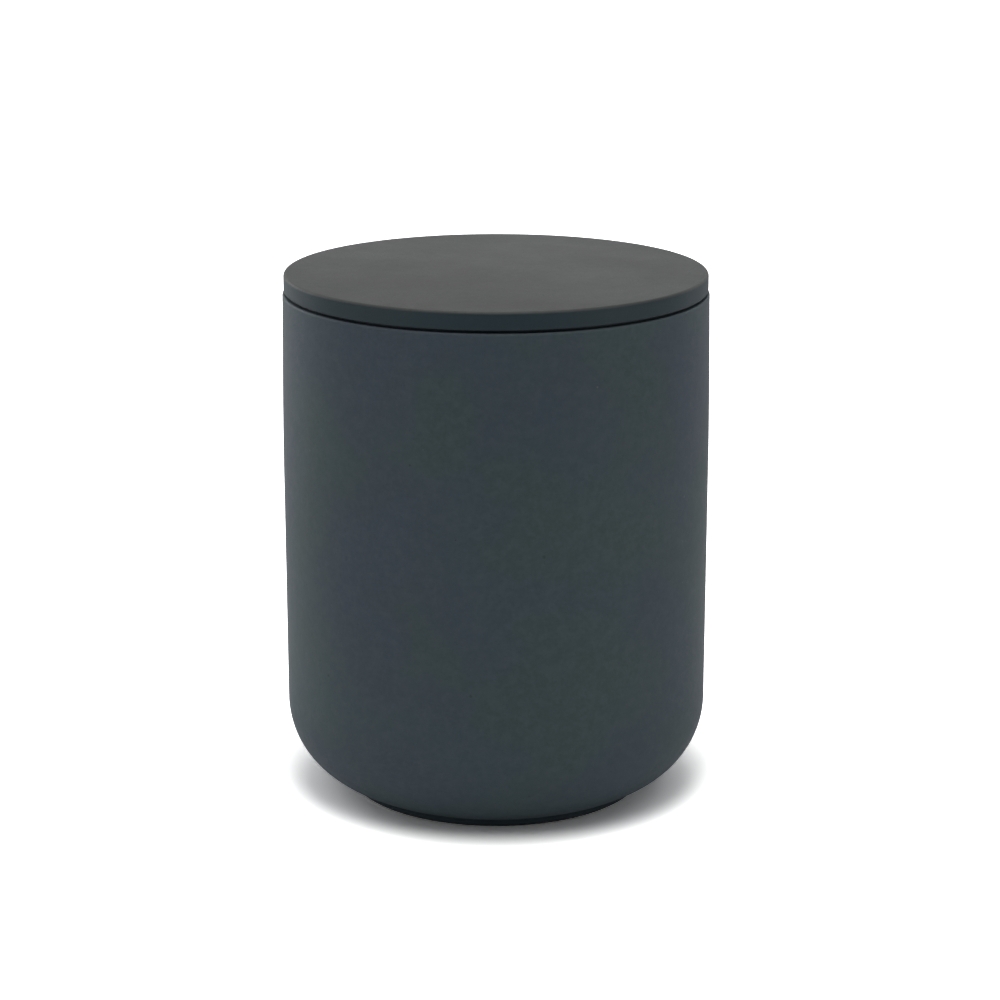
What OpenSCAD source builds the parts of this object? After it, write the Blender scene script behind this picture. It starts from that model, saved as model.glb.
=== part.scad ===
// Lidded candle jar: a turned stoneware jar on a low foot ring, a flat stoneware lid with a
// locating collar, and a silicone seal that grips the collar and cushions the lid on the rim.
// Millimetres, +Z up. The origin is on the table, at the middle of the foot ring.

/* [Jar] */
// Height of the jar without its lid
jar_h = 96.2; // [85:0.1:140]
// Outside diameter at the belly, where the jar is widest
belly_d = 80.8; // [70:0.2:110]
// Height at which the upright side begins to draw in towards the rim
belly_z = 60; // [30:1:75]
// Radius of the long arc that draws the side in
side_arc_r = 1300; // [700:50:4000]
// Height of the upright band below the rim
rim_band = 2; // [1.5:0.5:6]
// Wall thickness at the rim
wall = 4; // [3:0.1:7]
// Floor thickness inside the foot ring
floor_t = 5; // [3:0.5:9]
// Radius of the bottom corner, outside
corner_r = 16; // [10:0.1:22]
// Radius of the bottom corner, inside
inner_corner_r = 12; // [4:0.5:18]
// Rounding of the rim's outer edge
rim_round = 0.4; // [0.3:0.1:1.2]
// Rounding of the rim's inner edge
mouth_round = 1.2; // [0.3:0.1:1.6]

/* [Foot] */
// Outside diameter of the foot ring
foot_d = 57.4; // [44:0.2:64]
// Width of the foot ring
foot_w = 3.6; // [2.4:0.1:7]
// Height of the jar's underside above the table, outside the foot ring
underside_z = 1; // [0.5:0.1:4]
// How much higher the underside is inside the foot ring than outside it
recess_rise = 0.8; // [0.2:0.1:3]
// Rounding of the foot ring's edges, and of the corner inside it
foot_round = 0.6; // [0.2:0.1:1]

/* [Lid] */
// Thickness of the lid's disc
lid_t = 3.3; // [2.4:0.1:8]
// How far the lid's edge stays inside the rim's
lid_inset = 0.25; // [0:0.05:2]
// Rounding of the lid's upper edge
lid_top_round = 0.6; // [0.3:0.1:1.2]
// Rounding of the lid's lower edge
lid_low_round = 0.3; // [0.3:0.1:1.2]
// How far the collar reaches below the seal
collar_lip = 1.1; // [1:0.1:5]
// Thickness of the collar
collar_t = 3.6; // [2.4:0.1:7]
// Rounding of the collar's lower edges
collar_round = 0.8; // [0.2:0.1:1]
// Fillet between the collar and the underside of the disc
collar_fillet = 1.6; // [0.4:0.1:3]

/* [Seal] */
// Thickness of the cushion between the lid and the rim
cushion_t = 0.5; // [0.3:0.1:2]
// How far the cushion's edge stays inside the rim's
cushion_inset = 0.9; // [0.3:0.1:1.6]
// Thickness of the band that hugs the collar
band_t = 1.1; // [0.7:0.1:2]
// Height of the band below the cushion
band_h = 5.8; // [4:0.1:12]
// Number of fins around the band
fin_count = 3; // [1:1:3]
// How far each fin reaches out from the band
fin_reach = 1.3; // [0.6:0.1:2.4]
// Thickness of a fin at its root
fin_root_t = 0.8; // [0.4:0.1:1]
// Thickness of a fin at its tip
fin_tip_t = 0.4; // [0.2:0.1:0.8]
// How far a fin sweeps up from its root to its tip
fin_sweep = 0.5; // [0:0.1:0.8]
// How far the bead on the band's inner side reaches into the collar's groove
bead_reach = 0.9; // [0.4:0.1:1.4]
// Height of the bead
bead_h = 2.2; // [1:0.1:3]

/* [Fit] */
// Radial clearance between the fins' tips and the mouth
mouth_clearance = 0.05; // [0.02:0.01:0.2]
// Clearance all round between the seal and the collar
collar_clearance = 0.05; // [0.02:0.01:0.2]

/* [Hidden] */
$fn = 128;
// Facets of the whole circle that the side's long arc is cut from
side_arc_fn = 1440;
// How far one solid or cutter runs into the next, so that no two faces only just meet
overrun = 0.2;

belly_r = belly_d / 2;
// The side's arc is centred level with the belly, so it leaves the upright wall smoothly
side_arc_x = belly_r - side_arc_r;
rim_r = side_arc_x + sqrt(pow(side_arc_r, 2) - pow(jar_h - rim_band - belly_z, 2));
mouth_r = rim_r - wall;
corner_z = underside_z + corner_r;
recess_z = underside_z + recess_rise;
floor_z = recess_z + floor_t;
foot_r = foot_d / 2;
// The ring's two roundings share the recess's depth
foot_edge_r = min(foot_round, recess_z / 2);

lid_z = jar_h + cushion_t;
lid_r = rim_r - lid_inset;

fin_r = mouth_r - mouth_clearance;
band_r = fin_r - fin_reach;
collar_r = band_r - band_t - collar_clearance;
collar_inner_r = collar_r - collar_t;
seal_z = jar_h - band_h;
collar_z = seal_z - collar_lip;
fin_pitch = band_h / fin_count;
bead_z = seal_z + (band_h - bead_h) / 2;

// Rectangle from the corner [x0, z0] to the corner [x1, z1]
module slab(x0, z0, x1, z1) {
    translate([x0, z0]) square([x1 - x0, z1 - z0]);
}

// Sliver between a square corner at [x, z] and its rounding, cut from an outer edge or added to an
// inner one. side_x and side_z, each 1 or -1, say which way the corner points.
module corner_sliver(x, z, r, side_x, side_z) {
    translate([x, z]) mirror([side_x < 0 ? 1 : 0, 0]) mirror([0, side_z < 0 ? 1 : 0])
        difference() {
            translate([-r, -r]) square(r + overrun);
            translate([-r, -r]) circle(r);
        }
}

// Half section of the jar before it is hollowed: upright side, long arc up to the rim, round corner
module body_outline() {
    difference() {
        union() {
            slab(0, underside_z, rim_r, jar_h);
            slab(0, underside_z, belly_r, belly_z);
            intersection() {
                translate([side_arc_x, belly_z]) circle(side_arc_r, $fn = side_arc_fn);
                slab(0, belly_z, belly_r, jar_h - rim_band / 2);
            }
        }
        corner_sliver(belly_r, underside_z, corner_r, 1, -1);
        corner_sliver(rim_r, jar_h, rim_round, 1, 1);
    }
}

// Half section of the foot ring, which runs up into the body
module foot_outline() {
    difference() {
        slab(foot_r - foot_w, 0, foot_r, corner_z);
        corner_sliver(foot_r, 0, foot_edge_r, 1, -1);
        corner_sliver(foot_r - foot_w, 0, foot_edge_r, -1, -1);
    }
}

// Half section of the space inside the jar, with the mouth's rounded edge
module cavity_outline() {
    difference() {
        slab(0, floor_z, mouth_r, jar_h + overrun);
        corner_sliver(mouth_r, floor_z, inner_corner_r, 1, -1);
    }
    corner_sliver(mouth_r, jar_h, mouth_round, -1, 1);
}

// Half section of the recess inside the foot ring
module recess_outline() {
    difference() {
        slab(0, -overrun, foot_r - foot_w, recess_z);
        corner_sliver(foot_r - foot_w, recess_z, foot_edge_r, 1, 1);
    }
}

module jar() {
    color("#38444a")
        rotate_extrude()
            difference() {
                union() {
                    body_outline();
                    foot_outline();
                }
                cavity_outline();
                recess_outline();
            }
}

// Half section of the lid's disc
module disc_outline() {
    difference() {
        slab(0, lid_z, lid_r, lid_z + lid_t);
        corner_sliver(lid_r, lid_z + lid_t, lid_top_round, 1, 1);
        corner_sliver(lid_r, lid_z, lid_low_round, 1, -1);
    }
}

// Half section of the collar, with the groove that the seal's bead sits in
module collar_outline() {
    difference() {
        slab(collar_inner_r, collar_z, collar_r, lid_z + overrun);
        corner_sliver(collar_r, collar_z, collar_round, 1, -1);
        corner_sliver(collar_inner_r, collar_z, collar_round, -1, -1);
        slab(collar_r - bead_reach, bead_z - collar_clearance,
             collar_r + overrun, bead_z + bead_h + collar_clearance);
    }
}

module lid() {
    color("#4a4d4d")
        rotate_extrude()
            union() {
                disc_outline();
                collar_outline();
                corner_sliver(collar_inner_r, lid_z, collar_fillet, 1, 1);
            }
}

// Half section of one fin, swept up from its root on the band to its tip at the mouth
module fin_outline(z) {
    polygon([
        [band_r - overrun, z],
        [band_r, z],
        [fin_r, z + fin_sweep],
        [fin_r, z + fin_sweep + fin_tip_t],
        [band_r, z + fin_root_t],
        [band_r - overrun, z + fin_root_t],
    ]);
}

module lid_seal() {
    band_inner_r = collar_r + collar_clearance;
    color("#15191c")
        rotate_extrude()
            union() {
                slab(band_inner_r, jar_h, rim_r - cushion_inset, lid_z);
                slab(band_inner_r, seal_z, band_r, lid_z);
                slab(collar_r - bead_reach + collar_clearance, bead_z, band_r, bead_z + bead_h);
                for (i = [0 : fin_count - 1])
                    fin_outline(seal_z + i * fin_pitch);
            }
}

jar();
lid();
lid_seal();
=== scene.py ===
# %% [markdown]
# # A lidded stoneware candle jar
#
# The object is an empty candle jar in three pieces: a turned stoneware jar on a low foot ring, a
# flat stoneware lid with a collar underneath, and a black silicone seal that grips the collar and
# cushions the lid on the rim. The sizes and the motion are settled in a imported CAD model, so this
# lesson never moves or resizes anything. It measures the CAD pieces, turns a finer surface for
# each of them, and spends its effort on clay, glaze, silicone and light.

import math
from collections import namedtuple

import bpy
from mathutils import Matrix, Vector


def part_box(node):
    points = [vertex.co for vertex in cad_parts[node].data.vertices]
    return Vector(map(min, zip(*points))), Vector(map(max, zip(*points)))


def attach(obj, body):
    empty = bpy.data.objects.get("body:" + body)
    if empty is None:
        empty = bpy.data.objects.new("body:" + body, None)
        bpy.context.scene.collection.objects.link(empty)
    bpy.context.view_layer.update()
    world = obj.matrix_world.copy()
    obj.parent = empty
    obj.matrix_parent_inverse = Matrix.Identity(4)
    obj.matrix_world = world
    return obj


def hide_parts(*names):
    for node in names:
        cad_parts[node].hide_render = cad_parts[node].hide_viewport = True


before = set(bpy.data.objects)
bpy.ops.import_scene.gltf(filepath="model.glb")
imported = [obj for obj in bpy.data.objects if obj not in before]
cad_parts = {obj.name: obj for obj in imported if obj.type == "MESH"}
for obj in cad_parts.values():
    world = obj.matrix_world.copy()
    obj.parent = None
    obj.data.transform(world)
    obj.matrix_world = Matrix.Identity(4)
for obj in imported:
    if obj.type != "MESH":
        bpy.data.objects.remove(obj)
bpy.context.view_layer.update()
MM = 0.001

# %% [markdown]
# ## Measuring instead of guessing
#
# A maker checks a pot with callipers. A ray does the same here: shot at a CAD piece from outside
# it finds the outer radius, and shot from the axis it finds the inner one. Sizes could be typed in
# again, but then two files could disagree, so everything that can be felt is felt. Only the
# roundings are typed, because a ray can't feel the radius of an edge.

# %% Callipers
ASIDE = 1e-5  # keeps a ray just off the seam of a round mesh
FAR = 1.0


def feel(node, start, towards):
    """Where a ray first meets a CAD piece."""
    hit, place, _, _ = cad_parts[node].ray_cast(Vector(start), Vector(towards))
    if not hit:
        raise ValueError(f"the ray from {start} missed {node}")
    return place


def outer_radius(node, z):
    return feel(node, (FAR, ASIDE, z), (-1, 0, 0)).x


def inner_radius(node, z):
    return feel(node, (0, ASIDE, z), (1, 0, 0)).x


def height_below(node, x, z):
    return feel(node, (x, ASIDE, z), (0, 0, -1)).z


def height_above(node, x, z):
    return feel(node, (x, ASIDE, z), (0, 0, 1)).z


# %% Sizes of the jar
JAR_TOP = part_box("jar")[1].z
BELLY_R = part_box("jar")[1].x
RIM_R = outer_radius("jar", JAR_TOP - 1.5 * MM)
MOUTH_R = inner_radius("jar", JAR_TOP / 2)
FLOOR_Z = height_below("jar", 0, JAR_TOP)
RECESS_Z = height_above("jar", 0, -FAR)
FOOT_R = outer_radius("jar", 0.8 * MM)
FOOT_INNER_R = inner_radius("jar", 0.8 * MM)

BELLY_Z = 60 * MM  # where the upright side starts to draw in
RIM_BAND = 2 * MM  # upright band under the rim
CORNER_ROUND = 16 * MM
UNDERSIDE_Z = 1 * MM
INNER_CORNER_ROUND = 12 * MM
RIM_ROUND = 0.4 * MM
MOUTH_ROUND = 1.2 * MM
FOOT_ROUND = 0.6 * MM
FOOT_FILLET = 0.3 * MM  # the sponge leaves this much where the foot meets the body
print(f"jar: rim {RIM_R / MM:.2f}, mouth {MOUTH_R / MM:.2f}, foot {FOOT_R / MM:.2f} mm")

# %% Sizes of the lid
LID_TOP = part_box("lid")[1].z
LID_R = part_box("lid")[1].x
COLLAR_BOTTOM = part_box("lid")[0].z
LID_UNDER = height_above("lid", 0, COLLAR_BOTTOM)
COLLAR_R = outer_radius("lid", COLLAR_BOTTOM + 1 * MM)
COLLAR_INNER_R = inner_radius("lid", COLLAR_BOTTOM + 2 * MM)

LID_TOP_ROUND = 0.6 * MM
LID_LOW_ROUND = 0.3 * MM
COLLAR_ROUND = 0.8 * MM
COLLAR_FILLET = 1.6 * MM
print(f"lid: radius {LID_R / MM:.2f}, collar {COLLAR_INNER_R / MM:.2f} to {COLLAR_R / MM:.2f} mm")

# %% Sizes of the seal
SEAL_BOTTOM, SEAL_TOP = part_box("lid_seal")[0].z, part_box("lid_seal")[1].z
CUSHION_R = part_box("lid_seal")[1].x
BAND_H = JAR_TOP - SEAL_BOTTOM
BEAD_MIDDLE = SEAL_BOTTOM + BAND_H / 2
BEAD_R = inner_radius("lid_seal", BEAD_MIDDLE)
BAND_INNER_R = inner_radius("lid_seal", SEAL_BOTTOM + 0.4 * MM)
BAND_R = outer_radius("lid_seal", JAR_TOP - 0.3 * MM)
GROOVE_R = outer_radius("lid", BEAD_MIDDLE)

BEAD_H = 2.2 * MM
FINS = 3
FIN_ROOT, FIN_TIP, FIN_SWEEP = 0.8 * MM, 0.4 * MM, 0.5 * MM
FIN_R = max(outer_radius("lid_seal", SEAL_BOTTOM + FIN_SWEEP + FIN_TIP / 2), BAND_R)
SEAL_GAP = BAND_INNER_R - COLLAR_R
BEAD_LOW, BEAD_HIGH = BEAD_MIDDLE - BEAD_H / 2, BEAD_MIDDLE + BEAD_H / 2
GROOVE_LOW, GROOVE_HIGH = BEAD_LOW - SEAL_GAP, BEAD_HIGH + SEAL_GAP
print(f"seal: band {BAND_INNER_R / MM:.2f} to {BAND_R / MM:.2f}, fins {FIN_R / MM:.2f} mm")

# %% [markdown]
# ## Outlines
#
# Everything here was made on a wheel or in a round mould, so each piece is one outline turned
# about its axis. An outline is written as a short list of corners, each with the radius that
# rounds it, the way a potter's rib is drawn. A helper swaps each corner for its arc and puts
# points along the straight stretches, close together near an arc so that the shading of a flat
# face stays flat right up to its edge.
#
# Each corner also says how much its glaze has thinned. Glaze runs away from a sharp edge in the
# kiln, so rims and edges come out lighter, and the material reads this value later on.

# %% Corners and arcs
Corner = namedtuple("Corner", "r z round thin", defaults=(0.0, 0.0))
STEP = 0.6 * MM  # distance between points, along a stretch or a long arc
SUPPORT = 0.08 * MM  # a point this close to an arc keeps the flat face beside it flat
ARC_STEP = math.radians(9)


def arc(middle_r, middle_z, radius, start, stop):
    """Corners along an arc, from one angle to another, counted from the outward direction."""
    steps = math.ceil(abs(stop - start) * radius / STEP)
    angles = [start + (stop - start) * i / steps for i in range(steps + 1)]
    return [Corner(middle_r + radius * math.cos(a), middle_z + radius * math.sin(a)) for a in angles]


def rounded(before, corner, after):
    """Points of the arc that rounds a corner, or the corner itself if it isn't rounded."""
    here = Vector((corner.r, corner.z))
    arriving = (here - Vector((before.r, before.z))).normalized()
    leaving = (Vector((after.r, after.z)) - here).normalized()
    turn = arriving.angle_signed(leaving, 0.0)
    if corner.round == 0:
        return [here]
    start = here - arriving * corner.round * math.tan(abs(turn) / 2)
    side = math.copysign(corner.round, turn)
    middle = start + Vector((arriving.y, -arriving.x)) * side
    steps = math.ceil(max(abs(turn) / ARC_STEP, abs(turn) * corner.round / STEP))
    spoke = start - middle
    points = []
    for i in range(steps + 1):
        x, y = math.cos(turn * i / steps), -math.sin(turn * i / steps)
        points.append(middle + Vector((spoke.x * x - spoke.y * y, spoke.x * y + spoke.y * x)))
    return points


def stretch(start, stop, after_arc, before_arc):
    """Points between two others, leaving both out."""
    length = (stop - start).length
    count = math.ceil(length / STEP - 0.01)
    shares = [i / count for i in range(1, count)]
    if length > 4 * SUPPORT:
        shares += [SUPPORT / length] * after_arc + [1 - SUPPORT / length] * before_arc
    return [start.lerp(stop, share) for share in sorted(shares)]


def outline(corners, closed=False):
    """The outline's points, each as (r, z, how far its glaze has thinned)."""
    ring = [corners[-1], *corners, corners[0]]
    arcs = [rounded(*three) for three in zip(ring, ring[1:], ring[2:])]
    made = []
    for i, (corner, points) in enumerate(zip(corners, arcs)):
        made += [(p.x, p.y, corner.thin) for p in points]
        if closed or i + 1 < len(arcs):
            after = arcs[(i + 1) % len(arcs)]
            between = stretch(points[-1], after[0], len(points) > 1, len(after) > 1)
            made += [(p.x, p.y, 0.0) for p in between]
    return made


# %% The jar's outline
corner_r, corner_z = BELLY_R - CORNER_ROUND, UNDERSIDE_Z + CORNER_ROUND
foot_angle = -math.acos((FOOT_R - corner_r) / CORNER_ROUND)
draw_in, draw_up = BELLY_R - RIM_R, JAR_TOP - RIM_BAND - BELLY_Z
side_arc_r = (draw_in**2 + draw_up**2) / (2 * draw_in)

body_corner = arc(corner_r, corner_z, CORNER_ROUND, foot_angle, 0)
body_corner[0] = body_corner[0]._replace(round=FOOT_FILLET)

jar_corners = [
    Corner(0, RECESS_Z),
    Corner(FOOT_INNER_R, RECESS_Z, FOOT_ROUND),
    Corner(FOOT_INNER_R, 0, FOOT_ROUND),
    Corner(FOOT_R, 0, FOOT_ROUND),
    *body_corner,
    *arc(BELLY_R - side_arc_r, BELLY_Z, side_arc_r, 0, math.asin(draw_up / side_arc_r)),
    Corner(RIM_R, JAR_TOP, RIM_ROUND, 1.0),
    Corner(MOUTH_R, JAR_TOP, MOUTH_ROUND, 0.8),
    Corner(MOUTH_R, FLOOR_Z, INNER_CORNER_ROUND),
    Corner(0, FLOOR_Z),
]
jar_outline = outline(jar_corners)
print(f"jar: {len(jar_corners)} corners became {len(jar_outline)} points")

# %% The lid's outline
lid_corners = [
    Corner(0, LID_UNDER),
    Corner(COLLAR_INNER_R, LID_UNDER, COLLAR_FILLET),
    Corner(COLLAR_INNER_R, COLLAR_BOTTOM, COLLAR_ROUND),
    Corner(COLLAR_R, COLLAR_BOTTOM, COLLAR_ROUND),
    Corner(COLLAR_R, GROOVE_LOW),
    Corner(GROOVE_R, GROOVE_LOW, 0.2 * MM),
    Corner(GROOVE_R, GROOVE_HIGH, 0.2 * MM),
    Corner(COLLAR_R, GROOVE_HIGH),
    Corner(COLLAR_R, LID_UNDER),
    Corner(LID_R, LID_UNDER, LID_LOW_ROUND, 1.0),
    Corner(LID_R, LID_TOP, LID_TOP_ROUND, 0.8),
    Corner(0, LID_TOP),
]
lid_outline = outline(lid_corners)
print(f"lid: {len(lid_corners)} corners became {len(lid_outline)} points")

# %% The seal's outline
SOFT_EDGE = 0.12 * MM  # moulded silicone has no sharp edges
FLASH = 0.05 * MM  # the fine ridge where the two halves of the mould met


def fin(low):
    """Corners of one fin, from its root's lower side round its tip."""
    return [
        Corner(BAND_R, low, 0.1 * MM),
        Corner(FIN_R, low + FIN_SWEEP, SOFT_EDGE),
        Corner(FIN_R, low + FIN_SWEEP + FIN_TIP, SOFT_EDGE),
        Corner(BAND_R, low + FIN_ROOT, 0.1 * MM),
    ]


cushion_middle = (JAR_TOP + SEAL_TOP) / 2
seal_corners = [Corner(BAND_INNER_R, SEAL_BOTTOM, SOFT_EDGE)]
for turn in range(FINS):
    seal_corners += fin(SEAL_BOTTOM + turn * BAND_H / FINS)
seal_corners += [
    Corner(BAND_R, JAR_TOP, 0.2 * MM),
    Corner(CUSHION_R - FLASH, JAR_TOP, SOFT_EDGE),
    Corner(CUSHION_R - FLASH, cushion_middle - FLASH / 2),
    Corner(CUSHION_R, cushion_middle),
    Corner(CUSHION_R - FLASH, cushion_middle + FLASH / 2),
    Corner(CUSHION_R - FLASH, SEAL_TOP, SOFT_EDGE),
    Corner(BAND_INNER_R, SEAL_TOP, SOFT_EDGE),
    Corner(BAND_INNER_R, BEAD_HIGH, 0.1 * MM),
    Corner(BEAD_R, BEAD_HIGH, 0.3 * MM),
    Corner(BEAD_R, BEAD_LOW, 0.3 * MM),
    Corner(BAND_INNER_R, BEAD_LOW, 0.1 * MM),
]
seal_outline = outline(seal_corners, closed=True)
print(f"seal: {len(seal_corners)} corners became {len(seal_outline)} points")

# %% [markdown]
# ## Marks along an outline
#
# The outline carries more than its shape. Each point also says whether the wheel left rings there,
# whether the surface may wander a little, as a fired wall does, or has to stay true, as a seat
# does, whether the clay is bare, and whether it gets painted shade, a darker glaze colour on faces
# where shade falls. The values are stored on the points, so they travel with the mesh and the
# materials can read them.
# Painting the same masks by hand would have to be done again whenever a size changes.

# %% Marking the points
TOUCH = 0.01 * MM  # a point this close to a face counts as on it


def ramp(value, start, stop):
    """0 before start, 1 after stop, and a straight rise between. start may be above stop."""
    return min(max((value - start) / (stop - start), 0.0), 1.0)


def off_centre(r):
    """0 on the axis, where rings would pinch, and 1 a little further out."""
    return ramp(r, 1 * MM, 6 * MM)


def jar_marks(r, z):
    """Rings, wander, bare clay and painted shade at a point of the jar."""
    inside = r < MOUTH_R + TOUCH and z > FLOOR_Z - TOUCH
    wiped = ramp(z, 0.5 * MM, 0.2 * MM)
    if inside:
        thrown = off_centre(r) * ramp(z, JAR_TOP - 10 * MM, JAR_TOP - 18 * MM)
        return thrown, thrown, 0.0, 0.0
    if r < FOOT_INNER_R:
        turned_out = off_centre(r) * ramp(r, FOOT_INNER_R - 1 * MM, FOOT_INNER_R - 4 * MM)
        return turned_out, 0.0, wiped, 0.0
    upright = ramp(z, 2 * MM, 10 * MM) * ramp(z, JAR_TOP - 2 * MM, JAR_TOP - 10 * MM)
    # The last value is painted shade: a darker glaze colour on the foot ring and the lowest 1.5 mm of
    # the outside, where shade falls.
    return 0.0, upright, wiped, ramp(z, 1.5 * MM, 1.2 * MM)


def lid_marks(r, z):
    """Rings, wander, bare clay and painted shade at a point of the lid."""
    if z > LID_TOP - TOUCH:
        return 0.0, off_centre(r) * ramp(r, LID_R - 1.5 * MM, LID_R - 6 * MM), 0.0, 0.0
    if r < COLLAR_INNER_R - COLLAR_FILLET:
        pressed = off_centre(r) * ramp(r, COLLAR_INNER_R - 2 * MM, COLLAR_INNER_R - 5 * MM)
        return pressed, 0.0, 0.0, 0.0
    wiped = ramp(z, COLLAR_BOTTOM + 0.8 * MM, COLLAR_BOTTOM + 0.4 * MM)
    # The last value is painted shade: a darker glaze colour on the lid's upright side, where shade
    # falls.
    lid_side_shade = ramp(z, LID_TOP - 0.25 * MM, LID_TOP - 0.55 * MM) if r > COLLAR_R + 1 * MM else 0.0
    return 0.0, 0.0, wiped, lid_side_shade


def seal_marks(r, z):
    """Moulded silicone has no rings and no clay."""
    return 0.0, 0.0, 0.0, 0.0


def outline_object(name, points, marks, closed=False):
    """The outline as a line of edges in the XZ plane, with its marks stored on its points."""
    mesh = bpy.data.meshes.new(name)
    edges = [(i, i + 1) for i in range(len(points) - 1)]
    if closed:
        edges.append((len(points) - 1, 0))
    mesh.from_pydata([(r, 0, z) for r, z, _ in points], edges, [])
    along = [0.0]
    for (r0, z0, _), (r1, z1, _) in zip(points, points[1:]):
        along.append(along[-1] + math.hypot(r1 - r0, z1 - z0))
    rings, wander, bare, painted_shade = zip(*(marks(r, z) for r, z, _ in points))
    layers = {"along": along, "thin": [p[2] for p in points], "rings": rings, "wander": wander}
    # The last layer marks where shade is painted into the glaze colour.
    layers |= {"bare": bare, "painted_shade": painted_shade}
    for layer, values in layers.items():
        mesh.attributes.new(layer, "FLOAT", "POINT").data.foreach_set("value", values)
    made = bpy.data.objects.new(name, mesh)
    bpy.context.collection.objects.link(made)
    print(f"{name}: {along[-1] / MM:.0f} mm of outline")
    return made


# %% [markdown]
# ## Building node trees
#
# Geometry nodes and shader nodes are grown with the same helpers: one fills a socket with a number
# or joins it to another node, one adds a node with its settings, and one starts a group with named
# inputs and outputs. Written this way, a tree reads almost like a formula. The others
# give what most trees ask for: sums, smooth noise of a stated size in metres, and a soft step.

# %% Node helpers
def connect(socket, value):
    """Fills an input with a value, or joins it to another node's output."""
    if isinstance(value, bpy.types.NodeSocket):
        socket.id_data.links.new(value, socket)
    else:
        socket.default_value = value


def add(tree, kind, inputs=None, **settings):
    """Adds a node, sets its properties and fills its inputs, named or numbered."""
    made = tree.nodes.new(kind)
    for name, value in settings.items():
        setattr(made, name, value)
    for name, value in (inputs or {}).items():
        connect(made.inputs[name], value)
    return made


def maths(tree, operation, *values):
    return add(tree, "ShaderNodeMath", dict(enumerate(values)), operation=operation).outputs[0]


def group(name, kind, inputs, outputs):
    """A new group, the sockets that bring its inputs in and the ones that take its outputs."""
    tree = bpy.data.node_groups.new(name, kind)
    for socket, socket_kind, default in inputs:
        made = tree.interface.new_socket(socket, in_out="INPUT", socket_type=socket_kind)
        if default is not None:
            made.default_value = default
    for socket, socket_kind in outputs:
        tree.interface.new_socket(socket, in_out="OUTPUT", socket_type=socket_kind)
    arriving = tree.nodes.new("NodeGroupInput").outputs
    leaving = tree.nodes.new("NodeGroupOutput").inputs
    return tree, arriving, leaving


# %% Noise and soft steps
def scaled(tree, place, size):
    """A place in units of size, so that a pattern of scale 1 repeats about every size metres."""
    return add(tree, "ShaderNodeVectorMath", {0: place, 1: size}, operation="DIVIDE").outputs[0]


def noise(tree, place, size, seed, detail=2.0):
    """Smooth noise from 0 to 1 with features of about this size."""
    inputs = {"Vector": scaled(tree, place, size), "W": seed, "Scale": 1.0, "Detail": detail}
    return add(tree, "ShaderNodeTexNoise", inputs, noise_dimensions="4D").outputs[0]


def blend_range(tree, value, low, high, start=0.0, stop=1.0):
    """Smoothly carries low..high over to start..stop."""
    ends = {"From Min": low, "From Max": high, "To Min": start, "To Max": stop}
    made = add(tree, "ShaderNodeMapRange", {"Value": value} | ends, interpolation_type="SMOOTHSTEP")
    return made.outputs[0]


# %% [markdown]
# ## The wheel
#
# A pot is an outline turned about an axis. A Screw modifier or a bmesh spin would do that, but
# Geometry Nodes can also do what the potter's hands do while the wheel goes round: leave a spiral
# of faint rings, and let the wall wander by a few hundredths of a millimetre. Curve to Mesh sweeps
# the outline round a circle. The spiral is a sine of the distance along the outline plus the angle
# round the pot, so that it climbs by one ring in each turn and meets itself without a seam. Both
# effects only ever cut inwards, so the pot stays inside its measured size.

# %% The wheel as a node tree
FLOAT, INT, VECTOR = "NodeSocketFloat", "NodeSocketInt", "NodeSocketVector"
SHAPE, FINISH = "NodeSocketGeometry", "NodeSocketMaterial"
HUB = 10 * MM  # radius of the circle that the outline is swept along
SEAM = 0.001 * MM  # points closer than this are one point
SHALLOWEST = 0.3  # where the throwing rings are faintest they keep this share of their depth

wheel, given, result = group(
    "Wheel", "GeometryNodeTree",
    [("Outline", SHAPE, None), ("Steps Round", INT, 192), ("Ring Pitch", FLOAT, 3 * MM),
     ("Ring Depth", FLOAT, 0.06 * MM), ("Wander", FLOAT, 0.1 * MM), ("Wander Size", FLOAT, 25 * MM),
     ("Seed", FLOAT, 1.0), ("Finish", FINISH, None)],
    [("Turned", SHAPE)],
)
line = add(wheel, "GeometryNodeMeshToCurve", {"Mesh": given["Outline"]})
stood_up = add(wheel, "GeometryNodeTransform", {
    "Geometry": line.outputs[0], "Translation": (-HUB, 0, 0), "Rotation": (math.pi / 2, 0, 0)})
circle = add(wheel, "GeometryNodeCurvePrimitiveCircle", {
    "Resolution": given["Steps Round"], "Radius": HUB})
swept = add(wheel, "GeometryNodeCurveToMesh", {0: circle.outputs[0], 1: stood_up.outputs[0]})
facing_out = add(wheel, "GeometryNodeFlipFaces", {"Mesh": swept.outputs[0]})


def stored(name):
    """The value that the outline's points carry under this name."""
    made = add(wheel, "GeometryNodeInputNamedAttribute", {"Name": name}, data_type="FLOAT")
    return made.outputs[0]


place = add(wheel, "GeometryNodeInputPosition").outputs[0]
parts_of_place = add(wheel, "ShaderNodeSeparateXYZ", {0: place}).outputs
angle = maths(wheel, "ARCTAN2", parts_of_place["Y"], parts_of_place["X"])
climb = maths(wheel, "DIVIDE", stored("along"), given["Ring Pitch"])
wave = maths(wheel, "SINE", maths(wheel, "MULTIPLY_ADD", climb, math.tau, angle))
drift = noise(wheel, place, given["Wander Size"], given["Seed"], detail=1.0)
troughs = maths(wheel, "MULTIPLY_ADD", wave, 0.5, -0.5)
uneven = maths(wheel, "MULTIPLY", troughs, maths(wheel, "ADD", drift, SHALLOWEST))
deepest_ring = maths(wheel, "MULTIPLY", stored("rings"), given["Ring Depth"])
deepest_wander = maths(wheel, "MULTIPLY", stored("wander"), given["Wander"])
ring_cut = maths(wheel, "MULTIPLY", uneven, deepest_ring)
wander_cut = maths(wheel, "MULTIPLY", drift, deepest_wander)
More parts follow.
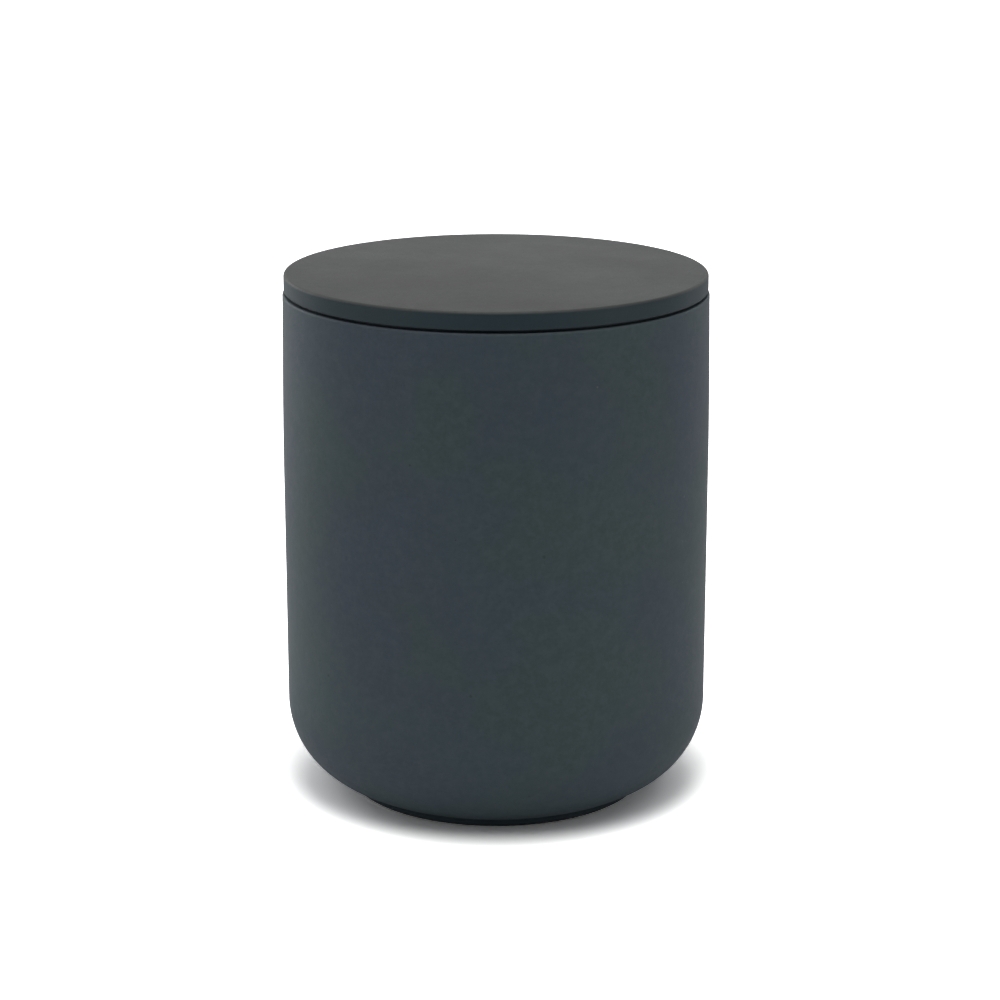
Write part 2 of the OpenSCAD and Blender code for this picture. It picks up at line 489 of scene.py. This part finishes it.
depth = maths(wheel, "SUBTRACT", ring_cut, wander_cut)
outwards = add(wheel, "GeometryNodeInputNormal").outputs[0]
cut = add(wheel, "ShaderNodeVectorMath", {0: outwards, "Scale": depth}, operation="SCALE").outputs[0]

shape = facing_out.outputs[0]
for kind, inputs in (
    ("GeometryNodeSetPosition", {"Offset": cut}),
    ("GeometryNodeMergeByDistance", {"Distance": SEAM}),
    ("GeometryNodeSetShadeSmooth", {}),
    ("GeometryNodeRealizeInstances", {}),
    ("GeometryNodeSetMaterial", {"Material": given["Finish"]}),
):
    shape = add(wheel, kind, {"Geometry": shape} | inputs).outputs[0]
connect(result["Turned"], shape)
print("wheel inputs:", [s.name for s in given if s.name])

# %% [markdown]
# ## Effects shared by the finishes
#
# Clay, glaze and silicone differ in colour, but they share their kinds of detail: a sandy grain,
# slow clouds from the kiln, small specks, and the fine lines that a tool leaves on a turning piece.
# Each is a shader node group with its sizes in metres as inputs, so a finish reads as a recipe. One
# more group reads the marks that the outline carries and gives them a ragged border, because a
# glaze never ends on a clean line. A group gives out only masks and heights. The shader itself
# stays in each material.

# %% Grain and clouds
SHADER = "ShaderNodeTree"
PLACE = ("Place", VECTOR, None)

grain_group, given, result = group(
    "Sandy Grain", SHADER, [PLACE, ("Size", FLOAT, 0.3 * MM), ("Seed", FLOAT, 1.0)],
    [("Height", FLOAT), ("Tint", FLOAT)])
connect(result["Height"], noise(grain_group, given["Place"], given["Size"], given["Seed"], detail=3.0))
coarser = maths(grain_group, "MULTIPLY", given["Size"], 2.5)
connect(result["Tint"], noise(grain_group, given["Place"], coarser, given["Seed"]))

cloud_group, given, result = group(
    "Kiln Clouds", SHADER, [PLACE, ("Size", FLOAT, 30 * MM), ("Seed", FLOAT, 1.0)],
    [("Cloud", FLOAT), ("Patch", FLOAT)])
wide = noise(cloud_group, given["Place"], given["Size"], given["Seed"], detail=3.0)
connect(result["Cloud"], blend_range(cloud_group, wide, 0.3, 0.7))
other_seed = maths(cloud_group, "ADD", given["Seed"], 7.0)
smaller = maths(cloud_group, "MULTIPLY", given["Size"], 0.6)
patches = noise(cloud_group, given["Place"], smaller, other_seed, detail=3.0)
connect(result["Patch"], blend_range(cloud_group, patches, 0.42, 0.66))
print("groups:", grain_group.name, "and", cloud_group.name)

# %% Specks
speck_group, given, result = group(
    "Specks", SHADER,
    [PLACE, ("Spacing", FLOAT, 3 * MM), ("Radius", FLOAT, 0.2 * MM), ("Share", FLOAT, 0.3),
     ("Seed", FLOAT, 1.0)],
    [("Mask", FLOAT)])
spaced = scaled(speck_group, given["Place"], given["Spacing"])
cells = add(speck_group, "ShaderNodeTexVoronoi", {
    "Vector": spaced, "W": given["Seed"], "Scale": 1.0}, voronoi_dimensions="4D").outputs
chance = add(speck_group, "ShaderNodeSeparateColor", {0: cells["Color"]}).outputs
away = maths(speck_group, "MULTIPLY", cells["Distance"], given["Spacing"])
share_of_radius = maths(speck_group, "ADD", chance["Green"], 0.5)
reach = maths(speck_group, "MULTIPLY", given["Radius"], share_of_radius)
inside = blend_range(speck_group, maths(speck_group, "DIVIDE", away, reach), 1.0, 0.5)
kept = maths(speck_group, "LESS_THAN", chance["Red"], given["Share"])
connect(result["Mask"], maths(speck_group, "MULTIPLY", inside, kept))

# %% Tool lines
line_group, given, result = group(
    "Tool Lines", SHADER, [PLACE, ("Pitch", FLOAT, 0.5 * MM), ("Seed", FLOAT, 1.0)],
    [("Height", FLOAT)])
xyz = add(line_group, "ShaderNodeSeparateXYZ", {0: given["Place"]}).outputs
squares = [maths(line_group, "MULTIPLY", xyz[axis], xyz[axis]) for axis in "XY"]
from_axis = maths(line_group, "SQRT", maths(line_group, "ADD", *squares))
slow = maths(line_group, "MULTIPLY", given["Pitch"], 40.0)
shaky = noise(line_group, given["Place"], slow, given["Seed"])
off_true = maths(line_group, "MULTIPLY", shaky, given["Pitch"])
round_place = add(line_group, "ShaderNodeCombineXYZ", {
    "X": maths(line_group, "ADD", from_axis, off_true),
    "Y": maths(line_group, "ADD", xyz["Z"], off_true)}).outputs[0]
connect(result["Height"], noise(line_group, round_place, given["Pitch"], given["Seed"], detail=3.0))
print("groups:", speck_group.name, "and", line_group.name)

# %% Where the glaze breaks
break_group, given, result = group(
    "Glaze Break", SHADER, [PLACE, ("Size", FLOAT, 1.5 * MM), ("Seed", FLOAT, 1.0)],
    [("Thin", FLOAT), ("Bare", FLOAT), ("Painted_Shade", FLOAT)])
ragged = noise(break_group, given["Place"], given["Size"], given["Seed"], detail=4.0)


def marked(name):
    """A value that the wheel left on the mesh, with a ragged border."""
    value = add(break_group, "ShaderNodeAttribute", attribute_name=name).outputs["Fac"]
    return maths(break_group, "ADD", value, maths(break_group, "MULTIPLY_ADD", ragged, 0.8, -0.4))


# thin and bare belong to the glaze; the third mark is painted shade on the lid's side and the foot
# ring.
for mark, low, high in (("thin", 0.3, 1.1), ("bare", 0.35, 0.65), ("painted_shade", 0.2, 0.8)):
    connect(result[mark.title()], blend_range(break_group, marked(mark), low, high))
print("group:", break_group.name, "with", [s.name for s in result if s.name])

# %% [markdown]
# ## Charcoal stoneware
#
# The jar and its lid are stoneware under a thin satin glaze that fires to a blue-black charcoal.
# It isn't one colour: clouds of a bluer and a greener cast drift over it, sand from the clay makes
# a fine grain, and iron gives a few dark specks among some pale ones. Where an edge is sharp the
# glaze breaks to a lighter grey, and where the piece stood in the kiln it was wiped off, so the clay
# is bare and dry. On the lid's side and the foot ring the glaze colour is darker and bluer: painted
# shade, standing in for the shade that falls on these faces. The same recipe serves both pieces with
# other colours: the lid's copy is neutral grey, a painted reflection of the light on its top, since
# the real lid carries the same glaze as the jar.

# %% The glaze recipe
def effect(tree, grown, place, **inputs):
    """The outputs of one use of a shared effect."""
    made = add(tree, "ShaderNodeGroup", node_tree=grown)
    connect(made.inputs["Place"], place)
    for name, value in inputs.items():
        connect(made.inputs[name.title()], value)
    return made.outputs


def mixed(tree, share, first, second):
    """Two colours mixed by a mask."""
    made = add(tree, "ShaderNodeMix", data_type="RGBA")
    for socket, value in zip((made.inputs[0], made.inputs[6], made.inputs[7]), (share, first, second)):
        connect(socket, value)
    return made.outputs[2]


def new_material(name):
    """A material with its shader, its place and nothing else yet."""
    made = bpy.data.materials.new(name)
    made.use_nodes = True
    tree = made.node_tree
    shader = tree.nodes["Principled BSDF"]
    place = add(tree, "ShaderNodeTexCoord").outputs["Object"]
    return made, tree, shader, place


def rgb(red, green, blue):
    return (red, green, blue, 1.0)


MOTTLE_SIZE = 3.5 * MM
LINE_PITCH = 0.45 * MM
BREAK_SIZE = 1.2 * MM
IRON = {"spacing": 2.6 * MM, "radius": 0.30 * MM, "share": 0.35}
SAND = {"spacing": 3.4 * MM, "radius": 0.26 * MM, "share": 0.3}
PINHOLES = {"spacing": 5 * MM, "radius": 0.28 * MM, "share": 0.3}
RELIEF = 0.03 * MM
GLASS = 1.5  # how strongly a glaze bends light


def stoneware(name, look):
    """Glazed stoneware from a recipe of colours and sizes."""
    made, tree, shader, place = new_material(name)
    seed = look["seed"]
    clouds = effect(tree, cloud_group, place, size=look["cloud_size"], seed=seed)
    mottle = effect(tree, cloud_group, place, size=MOTTLE_SIZE, seed=seed + 1)
    grain = effect(tree, grain_group, place, size=look["grain_size"], seed=seed)
    lines = effect(tree, line_group, place, pitch=LINE_PITCH, seed=seed)
    iron = effect(tree, speck_group, place, **IRON, seed=seed)
    sand = effect(tree, speck_group, place, **SAND, seed=seed + 3)
    edges = effect(tree, break_group, place, size=BREAK_SIZE, seed=seed)
    pinholes = effect(tree, speck_group, place, **PINHOLES, seed=seed + 5)

    glaze = mixed(tree, clouds["Cloud"], look["glaze"], look["glaze_blue"])
    for mask, share, colour in (
        (clouds["Patch"], 0.8, "glaze_green"),
        (mottle["Patch"], look["mottle"], "glaze_pale"),
        (blend_range(tree, grain["Tint"], 0.25, 0.75), look["grain"], "glaze_pale"),
        (lines["Height"], look["lines"], "glaze_pale"),
        (iron["Mask"], 0.45, "iron"),
        (sand["Mask"], 0.30, "sand"),
        (edges["Thin"], look["break"], "thin_glaze"),
        # Painted shade: a darker, bluer glaze colour on the lid's side and the foot ring.
        (edges["Painted_Shade"], 0.9, "painted_shade_glaze"),
    ):
        glaze = mixed(tree, maths(tree, "MULTIPLY", mask, share), glaze, look[colour])
    sandy = blend_range(tree, grain["Tint"], 0.3, 0.7)
    clay = mixed(tree, sandy, look["clay"], look["clay_pale"])
    connect(shader.inputs["Base Color"], mixed(tree, edges["Bare"], glaze, clay))

    satin = maths(tree, "MULTIPLY_ADD", grain["Height"], 0.16, look["roughness"] - 0.08)
    drier = maths(tree, "MULTIPLY_ADD", edges["Bare"], 0.3, satin)
    connect(shader.inputs["Roughness"], maths(tree, "MULTIPLY_ADD", clouds["Cloud"], 0.06, drier))

    coarse = maths(tree, "MULTIPLY_ADD", edges["Bare"], 1.0, look["bump"])
    fine = maths(tree, "MULTIPLY", grain["Height"], coarse)
    lined = maths(tree, "MULTIPLY_ADD", lines["Height"], look["line_bump"], fine)
    pitted = maths(tree, "MULTIPLY_ADD", pinholes["Mask"], -1.2, lined)
    relief = add(tree, "ShaderNodeBump", {"Strength": 1.0, "Distance": RELIEF, "Height": pitted})
    connect(shader.inputs["Normal"], relief.outputs[0])
    shader.inputs["IOR"].default_value = GLASS
    print(f"{name}: {len(tree.nodes)} nodes")
    return made


# %% The jar's glaze
jar_look = {
    "seed": 2.0,
    "cloud_size": 34 * MM,
    "grain_size": 0.3 * MM,
    "glaze": rgb(0.023, 0.049, 0.061),
    "glaze_blue": rgb(0.029, 0.047, 0.071),
    "glaze_green": rgb(0.025, 0.051, 0.051),
    "glaze_pale": rgb(0.070, 0.091, 0.104),
    "grain": 0.17,
    "lines": 0.10,
    "mottle": 0.15,
    "iron": rgb(0.008, 0.013, 0.015),
    "sand": rgb(0.17, 0.185, 0.185),
    "break": 0.12,
    # painted shade on the foot ring: a darker, bluer glaze colour
    "painted_shade_glaze": rgb(0.006, 0.024, 0.034),
    "thin_glaze": rgb(0.10, 0.115, 0.115),
    "clay": rgb(0.020, 0.022, 0.023),
    "clay_pale": rgb(0.055, 0.055, 0.052),
    "roughness": 0.62,
    "bump": 0.6,
    "line_bump": 0.25,
}
jar_glaze = stoneware("charcoal_glaze", jar_look)

# %% The lid's glaze
# The lid's copy of the glaze is neutral grey where the jar's is blue-black: a painted reflection of
# the light on the lid's top, since the real lid carries the same glaze as the jar.
lid_reflection_look = jar_look | {
    "seed": 11.0,
    "glaze": rgb(0.010, 0.013, 0.013),
    "glaze_blue": rgb(0.014, 0.015, 0.015),
    "glaze_green": rgb(0.010, 0.016, 0.015),
    "glaze_pale": rgb(0.036, 0.038, 0.036),
    "sand": rgb(0.09, 0.09, 0.09),
    "mottle": 0.22,
    "cloud_size": 18 * MM,
    "roughness": 0.56,
    # painted shade on the lid's upright side: a darker, bluer glaze colour
    "painted_shade_glaze": rgb(0.002, 0.021, 0.031),
}
lid_reflection_glaze = stoneware("lid_reflection_glaze", lid_reflection_look)

# %% [markdown]
# ## Black silicone
#
# The seal is one moulding of food-grade silicone. It is nearly black, satin rather than shiny, and
# soft enough that its edges round off by themselves. Silicone clings to dust, so fine pale specks
# sit on it, and the mould was spark-eroded, which leaves a very fine even texture.

# %% The silicone
silicone, tree, shader, place = new_material("black_silicone")
texture = effect(tree, grain_group, place, size=0.12 * MM, seed=5.0)
smears = effect(tree, cloud_group, place, size=6 * MM, seed=6.0)
dust = effect(tree, speck_group, place, spacing=0.9 * MM, radius=0.07 * MM, share=0.3, seed=7.0)
rubber = mixed(tree, smears["Cloud"], rgb(0.006, 0.009, 0.012), rgb(0.009, 0.013, 0.016))
dusted = mixed(tree, maths(tree, "MULTIPLY", dust["Mask"], 0.5), rubber, rgb(0.10, 0.10, 0.10))
connect(shader.inputs["Base Color"], dusted)
connect(shader.inputs["Roughness"], maths(tree, "MULTIPLY_ADD", smears["Patch"], 0.12, 0.46))
relief = add(tree, "ShaderNodeBump", {
    "Strength": 1.0, "Distance": 0.006 * MM, "Height": texture["Height"]})
connect(shader.inputs["Normal"], relief.outputs[0])
shader.inputs["IOR"].default_value = 1.41  # silicone's own
print(f"{silicone.name}: {len(tree.nodes)} nodes")

# %% [markdown]
# ## Turning the pieces
#
# Each outline now goes through the wheel. The result of the modifier is copied out as a plain mesh,
# because a finished piece should carry its shape in its own points, as the CAD pieces do. The
# wheel's numbers differ by piece: the jar has a throwing spiral inside, the lid was pressed and only
# shows fine rings underneath, and the silicone is true all round.

# %% Turning
INPUTS = {item.name: item.identifier for item in wheel.interface.items_tree if item.in_out == "INPUT"}


def turned(name, raw, values):
    """The outline swept by the wheel, as a plain mesh with its marks."""
    modifier = raw.modifiers.new("wheel", "NODES")
    modifier.node_group = wheel
    for label, value in values.items():
        modifier[INPUTS[label]] = value
    depsgraph = bpy.context.evaluated_depsgraph_get()
    mesh = bpy.data.meshes.new_from_object(raw.evaluated_get(depsgraph), depsgraph=depsgraph)
    raw.modifiers.remove(modifier)
    bpy.data.objects.remove(raw)
    mesh.name = name
    piece = bpy.data.objects.new(name, mesh)
    bpy.context.collection.objects.link(piece)
    mesh.calc_loop_triangles()
    volume = sum(
        mesh.vertices[a].co.dot(mesh.vertices[b].co.cross(mesh.vertices[c].co)) / 6
        for a, b, c in (t.vertices for t in mesh.loop_triangles))
    print(f"{name}: {len(mesh.loop_triangles)} triangles, {volume / MM**3 / 1000:.1f} cm3")
    return piece


jar_raw = outline_object("jar_outline", jar_outline, jar_marks)
jar_piece = turned("jar_body", jar_raw, {"Finish": jar_glaze, "Seed": 3.0})

lid_raw = outline_object("lid_outline", lid_outline, lid_marks)
lid_piece = turned("lid_body", lid_raw, {
    "Finish": lid_reflection_glaze, "Seed": 8.0, "Ring Pitch": 1.6 * MM, "Ring Depth": 0.03 * MM,
    "Wander": 0.06 * MM})

seal_raw = outline_object("seal_outline", seal_outline, seal_marks, closed=True)
seal_piece = turned("silicone_seal", seal_raw, {"Finish": silicone})

# %% [markdown]
# ## Joining the frame
#
# The new surfaces stand for the CAD pieces, which stay hidden and keep working in the physics.
# Each one rides on the body of the piece that it stands for. The seal has a body of its own: it
# rises with the lid, but the lid can turn inside it.

# %% Riding
for piece, node, body, slot in (
    (jar_piece, "jar", "jar", "jar_stoneware"),
    (lid_piece, "lid", "lid", "lid_stoneware"),
    (seal_piece, "lid_seal", "lid_seal", "seal_silicone"),
):
    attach(piece, body)
    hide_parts(node)
    print(f"{piece.name} rides on {body} and stands for {node}")

# %% [markdown]
# ## The studio
#
# A small dark object on white is lit the way a table-top studio would do it: a big softbox above,
# which lights the top and puts the shadow right under the belly, a low strip behind, whose grazing
# reflection brightens the lid, and a panel at each corner, the strongest at the back left, to edge
# the outline. Nothing bright stands right in front, so the face of the jar stays deep. The paper is
# overexposed to the camera. On top of that it carries a painted glow, seen by the camera alone,
# which rises with the distance from a point just behind the jar's axis and burns it out to white a
# few centimetres from the jar. So only the shadow close to the foot is left, while the light that
# it throws back at the jar stays natural.

# %% Floor
STAGE = 8.0  # half the floor's width: it has to reach past every view
# A painted glow, seen by the camera alone, is centred here and rises between the two distances below,
# burning the paper out to white, so the shadow reaches further back than forwards.
SHADOW_MIDDLE = (0, 8 * MM, 0)  # the shadow reaches further back than forwards
SHADOW_FADE = (38.5 * MM, 51.5 * MM)  # the paper burns out between these distances
floor_mesh = bpy.data.meshes.new("floor")
sheet = [(x * STAGE, y * STAGE, 0) for x, y in ((-1, -1), (1, -1), (1, 1), (-1, 1))]
floor_mesh.from_pydata(sheet, [], [(0, 1, 2, 3)])
floor = bpy.data.objects.new("floor", floor_mesh)
bpy.context.collection.objects.link(floor)

paper = bpy.data.materials.new("white_floor")
paper.use_nodes = True
tree = paper.node_tree
tree.nodes.clear()
seen = add(tree, "ShaderNodeLightPath").outputs["Is Camera Ray"]
place = add(tree, "ShaderNodeTexCoord").outputs["Object"]
away = add(tree, "ShaderNodeVectorMath", {0: place, 1: SHADOW_MIDDLE}, operation="DISTANCE")
# Painted glow on the paper, growing with the distance from SHADOW_MIDDLE.
painted_glow_share = blend_range(tree, away.outputs["Value"], *SHADOW_FADE)
glow = add(tree, "ShaderNodeEmission", {"Strength": painted_glow_share}).outputs[0]
lit = add(tree, "ShaderNodeBsdfDiffuse", {"Color": rgb(1.4, 1.4, 1.4)}).outputs[0]
bright = add(tree, "ShaderNodeAddShader", {0: lit, 1: glow}).outputs[0]
dim = add(tree, "ShaderNodeBsdfDiffuse", {"Color": rgb(0.8, 0.8, 0.8)}).outputs[0]
either = add(tree, "ShaderNodeMixShader", {0: seen, 1: dim, 2: bright})
add(tree, "ShaderNodeOutputMaterial", {"Surface": either.outputs[0]})
floor_mesh.materials.append(paper)
print("floor:", floor.dimensions.x, "m wide")

# %% Surroundings
AMBIENT = 0.02  # what the room gives to the object
BACKDROP = 1.2  # what the camera sees behind it, just past white

world = bpy.data.worlds.new("studio")
bpy.context.scene.world = world
world.use_nodes = True
tree = world.node_tree
tree.nodes.clear()
seen = add(tree, "ShaderNodeLightPath").outputs["Is Camera Ray"]
room, white = (
    add(tree, "ShaderNodeBackground", {"Color": rgb(1, 1, 1), "Strength": strength}).outputs[0]
    for strength in (AMBIENT, BACKDROP))
either = add(tree, "ShaderNodeMixShader", {0: seen, 1: room, 2: white})
add(tree, "ShaderNodeOutputWorld", {"Surface": either.outputs[0]})
bpy.context.scene.view_settings.view_transform = "Standard"
print("surroundings:", [node.bl_label for node in tree.nodes])

# %% Lights
AIM = Vector((0, 0, 50 * MM))
PANEL = (0.5, 0.9)  # width and height in metres


def softbox(name, place, size, watts):
    """A rectangular lamp that faces the middle of the object and isn't seen itself."""
    lamp = bpy.data.lights.new(name, "AREA")
    lamp.shape = "RECTANGLE"
    lamp.size, lamp.size_y = size
    lamp.energy = watts
    made = bpy.data.objects.new(name, lamp)
    bpy.context.collection.objects.link(made)
    made.location = place
    made.rotation_euler = (AIM - Vector(place)).to_track_quat("-Z", "Y").to_euler()
    made.visible_camera = False


for name, place, size, watts in (
    ("canopy", (0, 0, 1.0), (1.8, 1.8), 9.0),
    ("top", (0, 0.05, 1.0), (0.6, 0.6), 3.4),
    ("strip", (0, 0.20, 0.16), (0.4, 0.04), 0.13),
    ("left_front", (-1.0, -0.55, 0.35), PANEL, 2.4),
    ("left_back", (-0.9, 0.8, 0.35), PANEL, 5.2),
    ("right_front", (1.0, -0.55, 0.35), PANEL, 2.3),
    ("right_back", (0.9, 0.8, 0.35), PANEL, 1.8),
):
    softbox(name, place, size, watts)
print("lights:", [f"{lamp.name} {lamp.energy:.2f} W" for lamp in bpy.data.lights])

# %% [markdown]
# ## The camera
#
# It looks down at the jar from a little above, with a long lens, and is centred on the axis by
# turning the camera rather than by shifting the lens, so that other views can use it too.

# %% Camera
VIEW_ANGLE = math.radians(16.104)
VIEW_DISTANCE = 515.7 * MM
TILT_UP = math.radians(0.573)
TURN_RIGHT = math.radians(0.0853)
FOCAL_LENGTH = 96.73  # in millimetres, behind a 36 mm sensor

lens = bpy.data.cameras.new("camera")
lens.lens = FOCAL_LENGTH
lens.clip_start = 0.01
camera = bpy.data.objects.new("camera", lens)
bpy.context.collection.objects.link(camera)
camera.location = AIM + VIEW_DISTANCE * Vector((0, -math.cos(VIEW_ANGLE), math.sin(VIEW_ANGLE)))
camera.rotation_euler = (math.pi / 2 - VIEW_ANGLE + TILT_UP, 0, -TURN_RIGHT)
bpy.context.scene.camera = camera
print("camera at", [round(v, 4) for v in camera.location])
